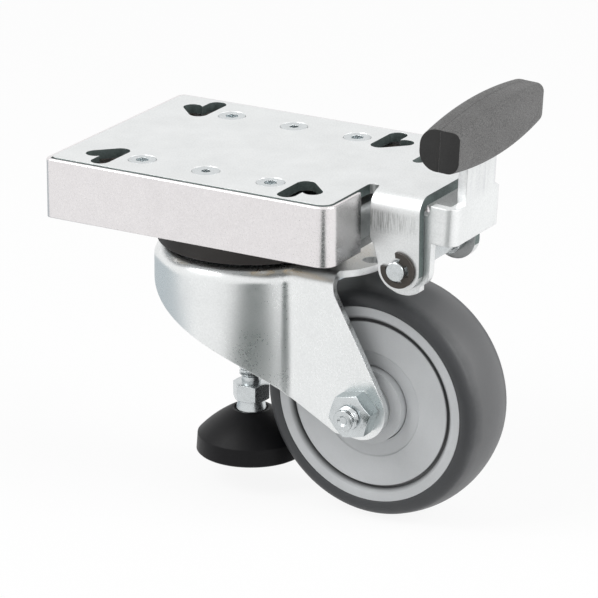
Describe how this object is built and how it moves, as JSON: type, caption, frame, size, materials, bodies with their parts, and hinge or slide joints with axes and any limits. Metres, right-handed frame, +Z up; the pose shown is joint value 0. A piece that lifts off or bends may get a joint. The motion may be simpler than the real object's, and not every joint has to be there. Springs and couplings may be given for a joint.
{
  "type": "levelling castor",
  "caption": "Swivel castor with a levelling foot through its kingpin, a slotted mounting plate and a hand lever that raises the wheel.",
  "frame": {"origin": "centre of the mounting plate's top face, on the swivel axis", "axes": "+Z up out of the mounting face; +X from the swivel axis toward the lever and the trailing wheel; axle and lever pin run along Y"},
  "size_m": [0.1819, 0.1068, 0.1816],
  "materials": {
    "zinc": "satin",
    "skirt_finish": "satin",
    "fastener": "satin",
    "clip_steel": "matte",
    "bright_steel": "satin",
    "ball_steel": "polished",
    "bronze": "satin",
    "seal_plastic": "matte",
    "tyre_rubber": "matte",
    "rim_plastic": "satin",
    "cover_plastic": "satin",
    "bush_plastic": "matte",
    "pad_plastic": "matte",
    "grip_plastic": "matte"
  },
  "bodies": {
    "housing": {"top_plate": "zinc", "skirt": "skirt_finish", "plate_screws": "fastener", "middle_screws": "fastener", "guide_posts": "bright_steel", "stop_posts": "bright_steel", "foot_sleeve": "bright_steel", "lever_pin": "fastener", "pin_clips": "clip_steel", "pin_collar": "fastener"},
    "carrier": {"carrier_plate": "zinc", "guide_bushes": "bronze", "lift_bracket": "zinc", "lift_arm": "zinc", "kingpin": "bright_steel", "kingpin_nut": "fastener", "upper_race": "bright_steel", "dust_ring": "seal_plastic"},
    "swivel": {"fork": "zinc", "lower_race": "bright_steel", "race_balls": "ball_steel", "thrust_washer": "bronze", "axle_bolt": "fastener", "axle_nut": "fastener", "axle_sleeve": "bright_steel", "axle_collars": "bright_steel"},
    "wheel": {"tyre": "tyre_rubber", "wheel_rim": "rim_plastic", "cover_near": "cover_plastic", "cover_far": "cover_plastic", "hub_bush": "bush_plastic"},
    "lever": {"lever_plate": "zinc", "lever_hub": "bright_steel", "handle_inner": "grip_plastic", "handle_outer": "grip_plastic"},
    "foot_stem": {"foot_stem": "fastener"},
    "foot_pad": {"foot_pad": "pad_plastic"}
  },
  "joints": [
    {"name": "lever_turn", "type": "hinge", "parent": "housing", "child": "lever", "pos_m": [0.083, 0, -0.0305], "axis": [0, 1, 0], "range_deg": [0, 75]},
    {"name": "carrier_lift", "type": "slide", "parent": "housing", "child": "carrier", "axis": [0, 0, 1], "range_m": [0, 0.0039]},
    {"name": "swivel_turn", "type": "hinge", "parent": "carrier", "child": "swivel", "pos_m": [0, 0, -0.04], "axis": [0, 0, 1], "continuous": true},
    {"name": "wheel_spin", "type": "hinge", "parent": "swivel", "child": "wheel", "pos_m": [0.0645, 0, -0.0944], "axis": [0, 1, 0], "continuous": true},
    {"name": "foot_screw", "type": "slide", "parent": "housing", "child": "foot_stem", "axis": [0, 0, -1], "range_m": [0, 0.025]},
    {"name": "pad_tilt", "type": "hinge", "parent": "foot_stem", "child": "foot_pad", "pos_m": [0, 0, -0.115], "axis": [0, 1, 0], "range_deg": [-2.5, 2.5]}
  ],
  "couplings": [
    {"joint": "lever_turn", "follows": "carrier_lift", "rad_per_m": 335.64}
  ]
}
